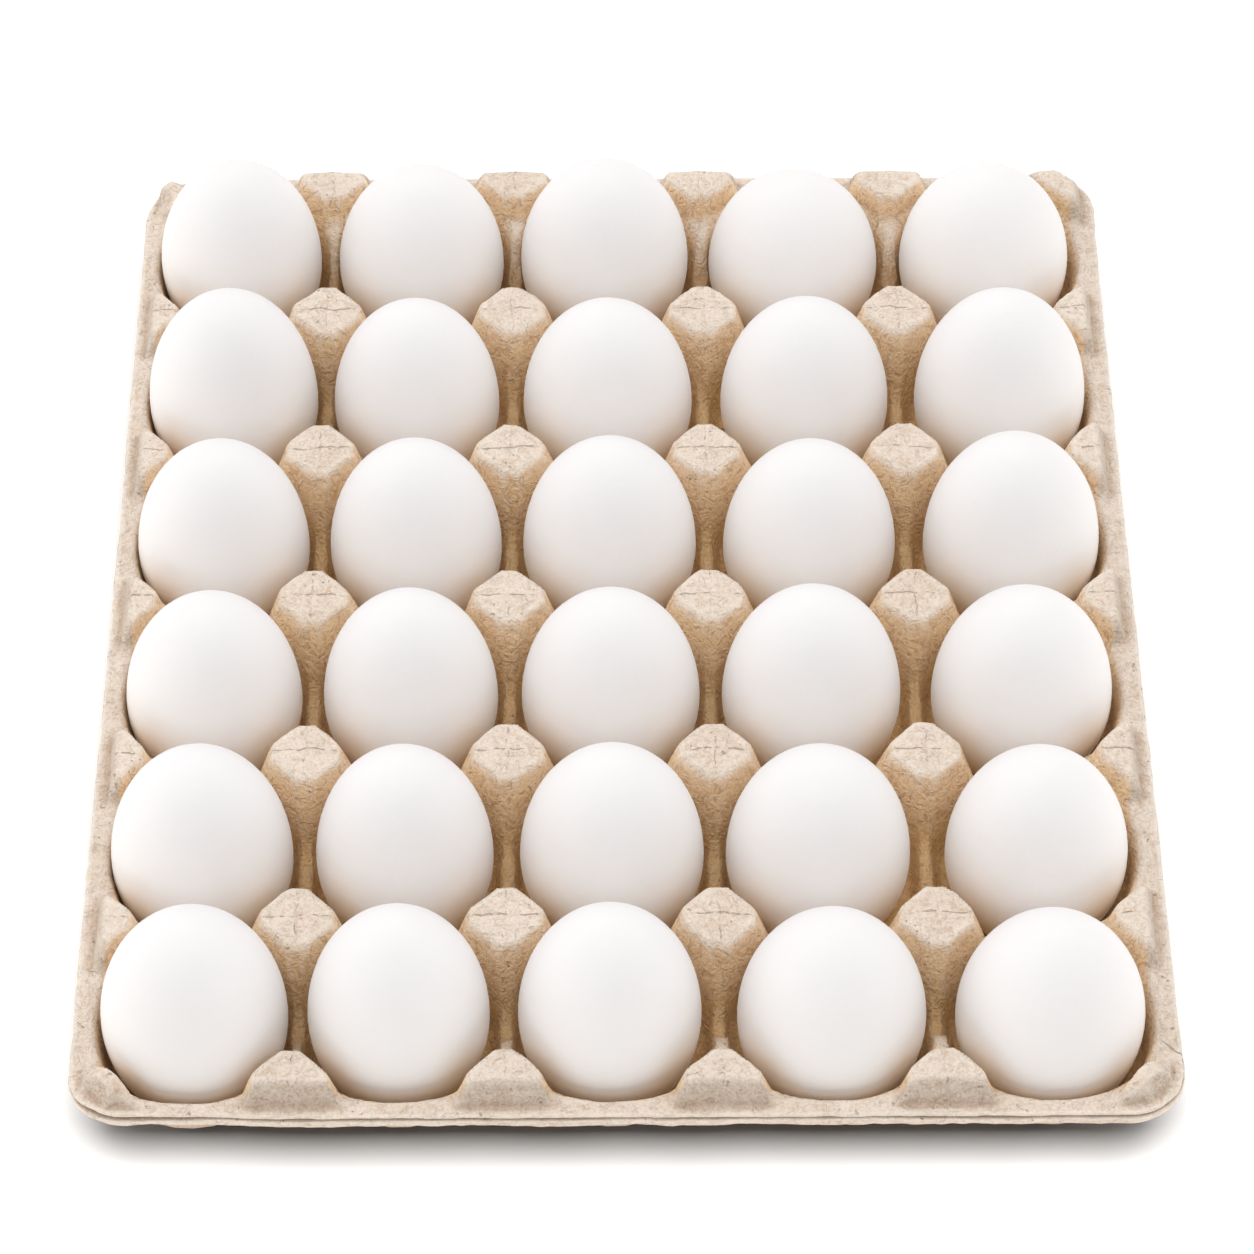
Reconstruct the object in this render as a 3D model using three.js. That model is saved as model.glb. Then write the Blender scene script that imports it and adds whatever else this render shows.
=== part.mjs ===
import * as THREE from "three";

// An open moulded pulp tray of five columns and six rows with thirty white eggs standing in it.
// X runs along the rows, Y from the front row to the back, Z up. Sizes in mm.
// Heights are worked out from the plane of the post tops and lifted by footDrop at the end.

// Columns and rows of cells
const columns = 5;
const rows = 6;
const firstPitch = 48;
const pitchGain = 1.1;
const lastColumnLess = 1.4;
const rowPitch = 50;
const frontRowLess = 2.3;
const backRowExtra = 1.25;

// Posts between the cells: a square set on its corner, with the corners cut
const postReach = 8.45;
const cornerCut = 2.3;
const crown = 0.5;
const ridgeRun = 7;
const wallRun = 5.7;
const cornerPostReach = 14;
const cornerPostDrop = 1.5;
const cornerFacetFoot = 5.6;
const cornerFacetRun = 2.9;

// Webs between neighbouring cells and the bowls under the eggs
const webDrop = 20;
const webHalf = 1.4;
const webFall = 3;
const floorDrop = 36.2;
const floorHalf = 9.5;
const bowlSlope = 1.33;
const bowlTopDrop = 20.5;

// Rim
const flangeDrop = 7.5;
const flangeWidth = 2.4;
const backFlangeExtra = 1.2;
const faceRun = 2.3;
const rightFootExtra = 1.4;
const rimWallRun = 2.6;
const cupReach = 23.9;
const frontCupExtra = 0.7;
const cupCorner = 17;
const cupBend = 1.5;
const frontRadius = 10;
const backRadius = 16;
const lipDrop = 10.9;

const wall = 1.8;
const footDrop = floorDrop + wall;

// Lines of the posts, from the left and from the front
const columnLines = [];
for (let i = 0; i <= columns; i += 1) {
  const less = i === columns ? lastColumnLess : 0;
  columnLines.push(i * firstPitch + (pitchGain * i * (i - 1)) / 2 - less);
}
const rowLines = [];
for (let j = 0; j <= rows; j += 1) {
  const less = j === 0 ? 0 : frontRowLess;
  const extra = j === rows ? backRowExtra : 0;
  rowLines.push(j * rowPitch - less + extra);
}

// The posts' faces meet the flange on the foot lines, and the flange ends on the outer lines
const footLeft = columnLines[0];
const footRight = columnLines[columns] + rightFootExtra;
const footFront = rowLines[0] - faceRun;
const footBack = rowLines[rows] + faceRun;
const outerLeft = footLeft - flangeWidth;
const outerRight = footRight + flangeWidth;
const outerFront = footFront - flangeWidth;
const outerBack = footBack + flangeWidth + backFlangeExtra;
const middleX = (outerLeft + outerRight) / 2;
const middleY = (outerFront + outerBack) / 2;

const cellMiddle = (lines, cell) => (lines[cell] + lines[cell + 1]) / 2;

// Edges of the outermost cups, where the flange turns down into them
const cupLeft = cellMiddle(columnLines, 0) - cupReach;
const cupRight = cellMiddle(columnLines, columns - 1) + cupReach;
const cupFront = cellMiddle(rowLines, 0) - cupReach - frontCupExtra;
const cupBack = cellMiddle(rowLines, rows - 1) + cupReach;

const clamp = (value, low, high) => Math.min(Math.max(value, low), high);

function nearestLine(lines, value) {
  let best = 0;
  lines.forEach((line, index) => {
    if (Math.abs(value - line) < Math.abs(value - lines[best])) best = index;
  });
  return best;
}

function cellOf(lines, value) {
  let cell = 0;
  while (cell < lines.length - 2 && value > lines[cell + 1]) cell += 1;
  return cell;
}

// Signed distance out of the rounded outline on which the posts' outer faces stand
function outOfFoot(x, y) {
  const middle = (footFront + footBack) / 2;
  const radius = (y < middle ? frontRadius : backRadius) - flangeWidth;
  const halfX = (footRight - footLeft) / 2 - radius;
  const halfY = (footBack - footFront) / 2 - radius;
  const dx = Math.abs(x - (footLeft + footRight) / 2) - halfX;
  const dy = Math.abs(y - middle) - halfY;
  const outside = Math.hypot(Math.max(dx, 0), Math.max(dy, 0));
  return outside + Math.min(Math.max(dx, dy), 0) - radius;
}

function postHeight(x, y) {
  const i = nearestLine(columnLines, x);
  const j = nearestLine(rowLines, y);
  const dx = Math.abs(x - columnLines[i]);
  const dy = Math.abs(y - rowLines[j]);
  const along = Math.max(dx, dy);
  const sum = dx + dy;
  const atCorner = (i === 0 || i === columns) && (j === 0 || j === rows);
  if (atCorner) {
    const inner = (Math.max(sum - cornerPostReach, 0) / wallRun) * webDrop;
    const outer = ((sum - cornerFacetFoot) / cornerFacetRun) * (flangeDrop - cornerPostDrop);
    return Math.min(-cornerPostDrop, -flangeDrop + outer) - inner;
  }
  const ridge = (along - postReach) / ridgeRun;
  const side = (sum - postReach - cornerCut) / wallRun;
  const fall = Math.max(ridge, side, 0) * webDrop;
  return -crown * Math.min(along / postReach, 1) - fall;
}

// Webs stand on the lines between cells, not on the rim
function webHeight(x, y) {
  let height = -Infinity;
  const toWeb = (value, lines) => {
    const index = nearestLine(lines, value);
    if (index === 0 || index === lines.length - 1) return;
    const off = Math.abs(value - lines[index]);
    height = Math.max(height, -webDrop - Math.max(off - webHalf, 0) * webFall);
  };
  toWeb(x, columnLines);
  toWeb(y, rowLines);
  return height;
}

function bowlHeight(x, y) {
  const i = cellOf(columnLines, x);
  const j = cellOf(rowLines, y);
  const dx = Math.abs(x - cellMiddle(columnLines, i));
  const dy = Math.abs(y - cellMiddle(rowLines, j));
  const out = Math.max(dx, dy, floorHalf) - floorHalf;
  return Math.min(-floorDrop + out * bowlSlope, -bowlTopDrop);
}

// The steep inner wall that hangs from the flange; its edge bends in a little towards the posts
function rimWallHeight(x, y) {
  const i = cellOf(columnLines, x);
  const j = cellOf(rowLines, y);
  const dx = Math.abs(x - cellMiddle(columnLines, i));
  const dy = Math.abs(y - cellMiddle(rowLines, j));
  const bendX = cupBend * Math.min(dx / cupCorner, 1) ** 3;
  const bendY = cupBend * Math.min(dy / cupCorner, 1) ** 3;
  const inward = Math.min(
    x - cupLeft - bendY,
    cupRight - bendY - x,
    y - cupFront - bendX,
    cupBack - bendX - y,
  );
  return -flangeDrop - (Math.max(inward, 0) / rimWallRun) * (bowlTopDrop - flangeDrop);
}

function topHeight(x, y) {
  const inside = Math.max(
    postHeight(x, y),
    webHeight(x, y),
    bowlHeight(x, y),
    rimWallHeight(x, y),
  );
  const out = outOfFoot(x, y);
  if (out < -faceRun) return inside;
  const face = -flangeDrop + (Math.max(-out, 0) / faceRun) * flangeDrop;
  return Math.max(-flangeDrop, Math.min(inside, face));
}

// The underside lies one wall thickness below the top face, measured square to it
function undersideHeight(x, y) {
  const around = 12;
  let height = topHeight(x, y) - wall;
  for (let ring = 1; ring <= 2; ring += 1) {
    const radius = (wall * ring) / 2;
    const drop = Math.sqrt(wall * wall - radius * radius);
    for (let k = 0; k < around; k += 1) {
      const angle = (2 * Math.PI * k) / around;
      const near = topHeight(x + radius * Math.cos(angle), y + radius * Math.sin(angle));
      height = Math.min(height, near - drop);
    }
  }
  return Math.max(height, -footDrop);
}

// Grid lines that follow the edges of posts, floors and rim
function gridLines(lines, lowRim, cupLow, cupHigh, highRim) {
  const found = [...lowRim, cupLow, cupLow + rimWallRun, cupHigh - rimWallRun, cupHigh, ...highRim];
  for (let k = 0; k < lines.length - 1; k += 1) {
    const low = lines[k];
    const high = lines[k + 1];
    const middle = cellMiddle(lines, k);
    if (k > 0) found.push(low, low + cornerCut);
    if (k < lines.length - 2) found.push(high - cornerCut);
    found.push(low + postReach, middle - floorHalf, middle + floorHalf, high - postReach);
  }
  found.sort((a, b) => a - b);
  return found.filter((value, index) => index === 0 || value - found[index - 1] > 0.2);
}

// Rim corners are round: near them a square of grid lines becomes an arc
function roundedPlace(x, y) {
  const radius = y < (outerFront + outerBack) / 2 ? frontRadius : backRadius;
  const centreX = clamp(x, outerLeft + radius, outerRight - radius);
  const centreY = clamp(y, outerFront + radius, outerBack - radius);
  const dx = x - centreX;
  const dy = y - centreY;
  const far = Math.max(Math.abs(dx), Math.abs(dy));
  if (dx === 0 || dy === 0) return [x, y];
  const scale = far / Math.hypot(dx, dy);
  return [centreX + dx * scale, centreY + dy * scale];
}

function trayGeometry() {
  const xs = gridLines(
    columnLines,
    [outerLeft, footLeft, footLeft + faceRun],
    cupLeft,
    cupRight,
    [footRight - faceRun, footRight, outerRight],
  );
  const ys = gridLines(
    rowLines,
    [outerFront, footFront, rowLines[0]],
    cupFront,
    cupBack,
    [rowLines[rows], footBack, outerBack],
  );
  const positions = [];
  const faces = [];
  const wide = xs.length;
  const deep = ys.length;
  const layer = wide * deep;
  const topAt = (i, j) => j * wide + i;
  const underAt = (i, j) => layer + j * wide + i;
  const onEdge = (i, j) => i === 0 || j === 0 || i === wide - 1 || j === deep - 1;

  const places = [];
  ys.forEach((y) => xs.forEach((x) => places.push(roundedPlace(x, y))));
  places.forEach(([x, y]) => {
    positions.push(x - middleX, y - middleY, topHeight(x, y) + footDrop);
  });
  places.forEach(([x, y], index) => {
    const edge = onEdge(index % wide, Math.floor(index / wide));
    const height = edge ? -lipDrop : undersideHeight(x, y);
    positions.push(x - middleX, y - middleY, height + footDrop);
  });

  const quad = (a, b, c, d, splitOnAc) => {
    if (splitOnAc) faces.push(a, b, c, a, c, d);
    else faces.push(a, b, d, b, c, d);
  };
  for (let j = 0; j < deep - 1; j += 1) {
    for (let i = 0; i < wide - 1; i += 1) {
      const corners = [topAt(i, j), topAt(i + 1, j), topAt(i + 1, j + 1), topAt(i, j + 1)];
      const [pa, pb, pc, pd] = corners.map((index) => places[index]);
      const midX = (pa[0] + pb[0] + pc[0] + pd[0]) / 4;
      const midY = (pa[1] + pb[1] + pc[1] + pd[1]) / 4;
      const [za, zb, zc, zd] = corners.map((index) => positions[3 * index + 2]);
      const middle = topHeight(midX, midY) + footDrop;
      const splitOnAc = Math.abs((za + zc) / 2 - middle) < Math.abs((zb + zd) / 2 - middle);
      quad(...corners, splitOnAc);
      quad(
        underAt(i, j), underAt(i, j + 1), underAt(i + 1, j + 1), underAt(i + 1, j), splitOnAc,
      );
    }
  }
  for (let i = 0; i < wide - 1; i += 1) {
    quad(underAt(i, 0), underAt(i + 1, 0), topAt(i + 1, 0), topAt(i, 0), true);
    quad(underAt(i + 1, deep - 1), underAt(i, deep - 1), topAt(i, deep - 1), topAt(i + 1, deep - 1), true);
  }
  for (let j = 0; j < deep - 1; j += 1) {
    quad(underAt(0, j + 1), underAt(0, j), topAt(0, j), topAt(0, j + 1), true);
    quad(underAt(wide - 1, j), underAt(wide - 1, j + 1), topAt(wide - 1, j + 1), topAt(wide - 1, j), true);
  }

  const geometry = new THREE.BufferGeometry();
  geometry.setAttribute("position", new THREE.Float32BufferAttribute(positions, 3));
  geometry.setIndex(faces);
  geometry.computeVertexNormals();
  return geometry;
}

// Eggs stand narrow end up; rows from the back, columns from the left, in mm
const eggWidths = [
  [43.5, 43.5, 44.5, 45, 45],
  [44, 43.5, 44.5, 44, 45],
  [44, 44, 44, 44, 45],
  [43.5, 43.5, 44, 44, 45],
  [43.5, 42.5, 44, 44.5, 44],
  [43, 42.5, 43, 44, 44],
];
// How far each egg's tip stands above the post tops
const eggTips = [
  [25, 21.5, 23.5, 18.5, 21],
  [26.5, 22.5, 22, 22.5, 25.5],
  [23, 23, 23.5, 22, 24.5],
  [22, 23, 22.5, 23.5, 22.5],
  [24, 24, 23.5, 22.5, 22],
  [25, 25.5, 25.5, 22.5, 21.5],
];
// Part of an egg's length below its widest level, row by row
const eggFullness = [0.48, 0.44, 0.43, 0.43, 0.44, 0.48];
const eggSides = 14;
const eggRings = 7;
const restGap = 0.3;

// Lowest stand of an egg on the bowl's sloping walls or its floor
function eggFoot(radius, tip, fullness) {
  let low = -floorDrop + restGap;
  let high = 0;
  const slant = Math.hypot(bowlSlope, 1);
  const clear = (foot) => {
    const below = fullness * (tip - foot);
    const reach = Math.hypot(radius * bowlSlope, below) + restGap * slant;
    return foot + below + floorDrop + floorHalf * bowlSlope > reach;
  };
  if (clear(low)) return low;
  for (let step = 0; step < 40; step += 1) {
    const middle = (low + high) / 2;
    if (clear(middle)) high = middle;
    else low = middle;
  }
  return high;
}

function eggGeometry(radius, below, above) {
  const profile = [];
  for (let k = 0; k <= eggRings; k += 1) {
    const angle = (Math.PI * k) / eggRings;
    const rise = -Math.cos(angle);
    const out = k === 0 || k === eggRings ? 0 : radius * Math.sin(angle);
    profile.push(new THREE.Vector2(out, rise * (rise < 0 ? below : above)));
  }
  const geometry = new THREE.LatheGeometry(profile, eggSides);
  geometry.rotateX(Math.PI / 2);
  return geometry;
}

const pulp = new THREE.MeshStandardMaterial({ name: "pulp", color: "#cdb79f", roughness: 0.95 });
const shell = new THREE.MeshStandardMaterial({ name: "shell", color: "#f1eeec", roughness: 0.5 });

const carton = new THREE.Group();
carton.name = "egg_tray_with_eggs";

const tray = new THREE.Mesh(trayGeometry(), pulp);
tray.name = "tray";
carton.add(tray);

for (let row = 0; row < rows; row += 1) {
  for (let column = 0; column < columns; column += 1) {
    const line = rows - 1 - row;
    const radius = eggWidths[row][column] / 2;
    const tip = eggTips[row][column];
    const foot = eggFoot(radius, tip, eggFullness[row]);
    const below = eggFullness[row] * (tip - foot);
    const egg = new THREE.Mesh(eggGeometry(radius, below, tip - foot - below), shell);
    egg.name = `egg_row${row + 1}_col${column + 1}`;
    egg.position.set(
      cellMiddle(columnLines, column) - middleX,
      cellMiddle(rowLines, line) - middleY,
      foot + below + footDrop,
    );
    carton.add(egg);
  }
}

export default carton;
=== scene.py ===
import math

import bpy
import numpy as np
from mathutils import Matrix, Vector


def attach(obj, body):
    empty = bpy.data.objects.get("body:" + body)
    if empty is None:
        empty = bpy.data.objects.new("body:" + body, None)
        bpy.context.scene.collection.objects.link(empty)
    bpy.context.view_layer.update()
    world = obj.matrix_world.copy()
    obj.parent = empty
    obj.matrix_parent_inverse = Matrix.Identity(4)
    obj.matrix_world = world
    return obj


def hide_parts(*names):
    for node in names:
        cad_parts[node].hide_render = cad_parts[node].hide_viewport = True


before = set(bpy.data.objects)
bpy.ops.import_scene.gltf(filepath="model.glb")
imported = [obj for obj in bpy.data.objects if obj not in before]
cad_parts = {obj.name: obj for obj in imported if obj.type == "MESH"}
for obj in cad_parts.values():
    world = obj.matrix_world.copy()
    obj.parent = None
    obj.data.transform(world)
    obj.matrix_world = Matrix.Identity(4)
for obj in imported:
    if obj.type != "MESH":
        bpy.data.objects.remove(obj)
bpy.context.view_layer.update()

# An open tray of moulded pulp, five columns by six rows, with thirty white eggs standing in it.
# X runs along the rows, Y from the front row to the back, Z up.
# Sizes are in mm, as in the part's source, until a mesh is made. Heights count from the post tops.
MM = 0.001
TINY = 1e-6  # keeps a division from failing

# Columns and rows of cells
COLUMNS = 5
ROWS = 6
FIRST_PITCH = 48
PITCH_GAIN = 1.1
LAST_COLUMN_LESS = 1.4
ROW_PITCH = 50
FRONT_ROW_LESS = 2.3
BACK_ROW_EXTRA = 1.25

# Posts
POST_REACH = 8.45
CORNER_CUT = 2.3
CROWN = 0.5
RIDGE_RUN = 7
WALL_RUN = 5.7

# Webs and bowls
WEB_DROP = 20
WEB_HALF = 1.4
WEB_FALL = 3
FLOOR_DROP = 36.2
FLOOR_HALF = 9.5
BOWL_SLOPE = 1.33
RIM_WALL_FOOT_DROP = 20.5

# Rim. The corner radii are those of the front corners, the left back one and the right back one.
FLANGE_DROP = 7.5
FLANGE_WIDTH = 2.4
BACK_FLANGE_EXTRA = 1.2
FACE_RUN = 2.3
RIGHT_FOOT_EXTRA = 1.4
RIM_WALL_RUN = 2.6
CUP_REACH = 23.9
CORNER_RADIUS = (12.5, 16, 11.5)
LIP_DROP = 10.9
WALL = 1.8
FOOT_DROP = FLOOR_DROP + WALL

# Softness of the moulded edges and of the lines where two faces meet
EDGE_SOFTNESS = 0.05
FACE_SOFTNESS = 0.2
POST_CORNER_SOFTNESS = 0.3
WEB_EDGE_SOFTNESS = 0.3
WEB_SOFTNESS = 1
BOWL_SOFTNESS = 1
HOLLOW_SOFTNESS = 1
RIM_WALL_SOFTNESS = 0.8
RIM_SOFTNESS = 1.2

# Gutters beside the webs, and higher ones towards the rim. One turns into the other between two shares
# of the way out of the cup that lead to the rim.
GUTTER_DROP = 27
GUTTER_SLOPE = 0.3
RIM_GUTTER_DROP = 19
RIM_GUTTER_START = 1.4 / 3
RIM_GUTTER_FULL = 0.8

# Rounder cups and feet than in the part's source, and the least thickness over the front feet
FOOT_REACH = 8.9
FRONT_FOOT_REACH = 9.2
THINNEST = 2.0
CUP_ROUNDNESS = 2.2
CUP_SIDE_SHARE = 0.95
LEFT_CUP_LESS = 1.3
RIGHT_CUP_MORE = 1.1

# Uneven moulding: the front posts reach further back and the outer faces stand a little in or out
FRONT_POST_MORE = 1.1
FRONT_FACE_IN = 0.5
BACK_FACE_OUT = 1.0

# Corner mounds: a low wedge between the cup and the rounded corner of the rim
# Three values are for the front corners, the left back one and the right back one.
MOUND_DROP = (2.3, 2.8, 1.0)
MOUND_FACET_FOOT = (5.8, 3.2, 1.0)
MOUND_FACET_RISE = (1.35, 2.0, 1.15)
MOUND_SIDE_INSET = (-0.2, 0.1, -0.4)
MOUND_FRONT_INSET = (0.75, 0.7, -1.5)
MOUND_HALF = (1.5, 1.5, 7)
MOUND_STRIP_REACH = 12.4
MOUND_END_FALL = 0.75

# How far the flange spreads beyond its plain outline: places along the edge, then the spread there
RIM_SPREAD_REACH = 6
LEFT_SPREAD = [(-5, 60, 150, 300), (1.2, 1.1, 0.4, 0.2)]
RIGHT_SPREAD = [(-5, 60, 150, 260, 300), (0.8, 0.8, 0.7, 0.9, 1.6)]
FRONT_SPREAD = [(-3, 6, 30, 42, 255), (-0.7, -0.9, -0.8, 0, 0)]

# The torn place in the right flange, from the cup side to the outer edge
TEAR_START = np.array([249.3, 16.0])
TEAR_END = np.array([254.5, 11.2])

# The mesh of the tray: how far apart its lines lie over posts, rim and bowls, and how it is evened out
FINE_SPACING = 0.64
WIDE_SPACING = 2.3
RIM_SPACING = 0.8
POST_ZONE = (9.5, 13.5)
RIM_ZONE = (5, 12)
MEASURE_STEPS = 4000
EDGE_INSET = 0.5
UPPER_ROUNDS = 16
LOWER_ROUNDS = 10
SLIDE_SHARE = 0.6
RETURN_ROUNDS = 2
RETURN_SHARE = 0.9

# Section of the rim's edge, a thin upper ply over a thicker one: out and down from the last grid point,
# and its painted shade there. The fourth and fifth points are the bottom of the slit between the plies,
# darkest in painted shade.
LIP_SECTION = [
    (0.28, 0.1, 0), (0.45, 0.35, 0), (0.38, 0.6, 0), (-1.9, 0.75, 1), (-1.9, 0.95, 1), (0.25, 1.05, 0.4),
    (0.55, 1.35, 0), (0.65, 2.0, 0), (0.6, 2.7, 0), (0.45, 3.4, 0.25), (0.0, 3.85, 0.25), (-0.9, 3.7, 0.25),
]

# The slit is widest near the left front corner, and the lower ply moves down as it opens.
# The slit and the ragged edge each have a share at given levels down the section.
SLIT_WIDTH = 0.2
SLIT_MOST = 0.9
SLIT_LEAN = 0.3
SLIT_CORNER_MORE = 0.6
SLIT_CORNER_AT = 14
SLIT_CORNER_NEAR = 9
SLIT_CORNER_FAR = 24
SLIT_LEVELS = (0.8, 0.9, 3.1)
SLIT_SHARES = (0, 1, 0.2)
RAGGED_LEVELS = (1, 3.1)
RAGGED_SHARES = (0.25, 1)
LIP_WAVE_STEP = 9  # gives each level waves of its own

# Where the underside starts behind the lip, and how much painted shade it gets away from it
UNDER_INSET = 0.4
UNDER_RISE = 0.3
UNDER_SHADE_RUN = 16
UNDER_SHADE = (0.15, 0.45)

column_lines = np.array([
    i * FIRST_PITCH + PITCH_GAIN * i * (i - 1) / 2 - (LAST_COLUMN_LESS if i == COLUMNS else 0)
    for i in range(COLUMNS + 1)
])
row_lines = np.array([
    j * ROW_PITCH - (FRONT_ROW_LESS if j > 0 else 0) + (BACK_ROW_EXTRA if j == ROWS else 0)
    for j in range(ROWS + 1)
])
column_middles = (column_lines[1:] + column_lines[:-1]) / 2
row_middles = (row_lines[1:] + row_lines[:-1]) / 2

foot_left = column_lines[0]
foot_right = column_lines[-1] + RIGHT_FOOT_EXTRA
foot_front = row_lines[0] - FACE_RUN
foot_back = row_lines[-1] + FACE_RUN
outer_left = foot_left - FLANGE_WIDTH
outer_right = foot_right + FLANGE_WIDTH
outer_front = foot_front - FLANGE_WIDTH
outer_back = foot_back + FLANGE_WIDTH + BACK_FLANGE_EXTRA
middle_x = (outer_left + outer_right) / 2
middle_y = (outer_front + outer_back) / 2


def soft_max(a, b, softness):
    """The larger of two, with the meeting line rounded over the given difference."""
    share = np.clip(0.5 + 0.5 * (a - b) / softness, 0, 1)
    return b + (a - b) * share + softness * share * (1 - share)


def soft_min(a, b, softness):
    return -soft_max(-a, -b, softness)


def ramp(value, start, end):
    """0 up to the start, 1 from the end on and even in between; the end may be the lower one."""
    return np.clip((value - start) / (end - start), 0, 1)


class Unevenness:
    """Smooth random relief from -1 to 1 that repeats only over a wide span."""

    def __init__(self, seed, cells=48):
        self.cells = cells
        self.heights = np.random.default_rng(seed).uniform(-1, 1, (cells, cells, cells))

    def at(self, x, y, z, size):
        lows, parts = [], []
        for value in np.broadcast_arrays(x, y, z):
            place = value / size
            low = np.floor(place).astype(int)
            part = place - low
            lows.append(low)
            parts.append(part * part * (3 - 2 * part))
        total = 0
        for corner in range(8):
            weight = 1
            index = []
            for axis in range(3):
                step = corner >> axis & 1
                index.append((lows[axis] + step) % self.cells)
                weight = weight * (parts[axis] if step else 1 - parts[axis])
            total = total + weight * self.heights[tuple(index)]
        return total


class Waves:
    """Random waves of one height and length; a level of their own keeps them apart from others."""

    def __init__(self, field, height, length, level=0):
        self.field = field
        self.height = height
        self.length = length
        self.level = level

    def at(self, x, y, z=None):
        level = self.level if z is None else z
        return self.height * self.field.at(x, y, level, self.length)


broad = Unevenness(3)
fine = Unevenness(7)
post_waves = Waves(broad, 0.35, 5.5)
mound_waves = Waves(broad, 0.3, 4.5, level=20)
surface_waves = (Waves(broad, 0.13, 6), Waves(fine, 0.07, 2.4), Waves(fine, 0.04, 1.3))
slit_waves = Waves(broad, 0.3, 26, level=40)
lower_ply_waves = Waves(broad, 0.3, 8, level=60)
ragged_waves = (Waves(broad, 0.4, 9, level=80), Waves(fine, 0.3, 2.3, level=80))
lip_waves = Waves(fine, 0.2, 2.5)


def nearest(lines, value):
    """Number of the line nearest to each value."""
    return np.abs(value[..., None] - lines).argmin(-1)


def cell_of(lines, value):
    """Number of the cell in which each value lies."""
    return np.clip(np.searchsorted(lines, value) - 1, 0, len(lines) - 2)


def by_corner(x, y, values):
    """The value for the corner on whose side of the tray each point lies."""
    front, back_left, back_right = values
    return np.where(y < middle_y, front, np.where(x < middle_x, back_left, back_right))


def in_from_foot(x, y):
    """Distances in from the nearer side and from the nearer end of the outer faces' foot."""
    return np.minimum(x - foot_left, foot_right - x), np.minimum(y - foot_front, foot_back - y)


def out_of_foot(x, y):
    """Distance out of the rounded outline on which the posts' outer faces stand."""
    radius = by_corner(x, y, CORNER_RADIUS) - FLANGE_WIDTH
    dx = np.abs(x - (foot_left + foot_right) / 2) - ((foot_right - foot_left) / 2 - radius)
    dy = np.abs(y - (foot_front + foot_back) / 2) - ((foot_back - foot_front) / 2 - radius)
    outside = np.hypot(np.maximum(dx, 0), np.maximum(dy, 0))
    return outside + np.minimum(np.maximum(dx, dy), 0) - radius


def post_height(x, y):
    """Low-crowned square posts with cut corners, cut off by the outer faces along the rim."""
    i = nearest(column_lines, x)
    j = nearest(row_lines, y)
    dx = np.abs(x - column_lines[i])
    dy = np.abs(y - row_lines[j]) - np.where((j == 0) & (y > row_lines[0]), FRONT_POST_MORE, 0)
    wobble = post_waves.at(x, y)
    along = soft_max(dx, dy, POST_CORNER_SOFTNESS) + wobble
    ridge = (along - POST_REACH) / RIDGE_RUN
    side = (dx + dy + wobble - POST_REACH - CORNER_CUT) / WALL_RUN
    fall = soft_max(soft_max(ridge, side, EDGE_SOFTNESS), 0, EDGE_SOFTNESS) * WEB_DROP
    height = -CROWN * np.minimum(along / POST_REACH, 1) - fall

    moved = np.where(j == 0, FRONT_FACE_IN, np.where(j == ROWS, -BACK_FACE_OUT, 0))
    face = -FLANGE_DROP - (out_of_foot(x, y) + moved) / FACE_RUN * FLANGE_DROP
    height = soft_min(height, face, FACE_SOFTNESS)
    at_corner = ((i == 0) | (i == COLUMNS)) & ((j == 0) | (j == ROWS))
    return np.where(at_corner, mound_height(x, y), height)


def mound_height(x, y):
    """Two steep faces and a corner facet outside, a strip along the cup inside, and sloping ends."""
    in_x, in_y = in_from_foot(x, y)
    inward = in_x + in_y + mound_waves.at(x, y)
    facet = (inward - by_corner(x, y, MOUND_FACET_FOOT)) * by_corner(x, y, MOUND_FACET_RISE)
    side_face = in_x - by_corner(x, y, MOUND_SIDE_INSET)
    front_face = in_y - by_corner(x, y, MOUND_FRONT_INSET)
    faces = np.minimum(side_face, front_face) / FACE_RUN * FLANGE_DROP
    outer = -FLANGE_DROP + soft_min(facet, faces, FACE_SOFTNESS)
    past_end = np.abs(in_x - in_y) / math.sqrt(2) - by_corner(x, y, MOUND_HALF)
    top = -by_corner(x, y, MOUND_DROP) - np.maximum(past_end, 0) * MOUND_END_FALL
    strip = soft_max((inward - MOUND_STRIP_REACH - FACE_RUN) / WALL_RUN, 0, EDGE_SOFTNESS)
    return soft_min(outer, top, FACE_SOFTNESS) - strip * WEB_DROP


def web_height(x, y):
    """Two sets of low walls that cross at the posts."""
    heights = []
    for value, lines in ((x, column_lines), (y, row_lines)):
        off = np.abs(value[..., None] - lines[1:-1]).min(-1)
        heights.append(-WEB_DROP - soft_max(off - WEB_HALF, 0, WEB_EDGE_SOFTNESS) * WEB_FALL)
    return soft_max(*heights, WEB_SOFTNESS)


def place_in_cell(x, y):
    """Distances from the cell's middle, and how much of them leads towards the rim."""
    i = cell_of(column_lines, x)
    j = cell_of(row_lines, y)
    dx = x - column_middles[i]
    dy = y - row_middles[j]
    left = np.maximum(-dx, 0) * CUP_REACH / (CUP_REACH - LEFT_CUP_LESS)
    right = np.maximum(dx, 0) * CUP_REACH / (CUP_REACH + RIGHT_CUP_MORE)
    out_x = np.where(i == 0, left, np.where(i == COLUMNS - 1, right, 0))
    out_y = np.where(j == 0, np.maximum(-dy, 0), np.where(j == ROWS - 1, np.maximum(dy, 0), 0))
    return dx, dy, out_x, out_y


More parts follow.
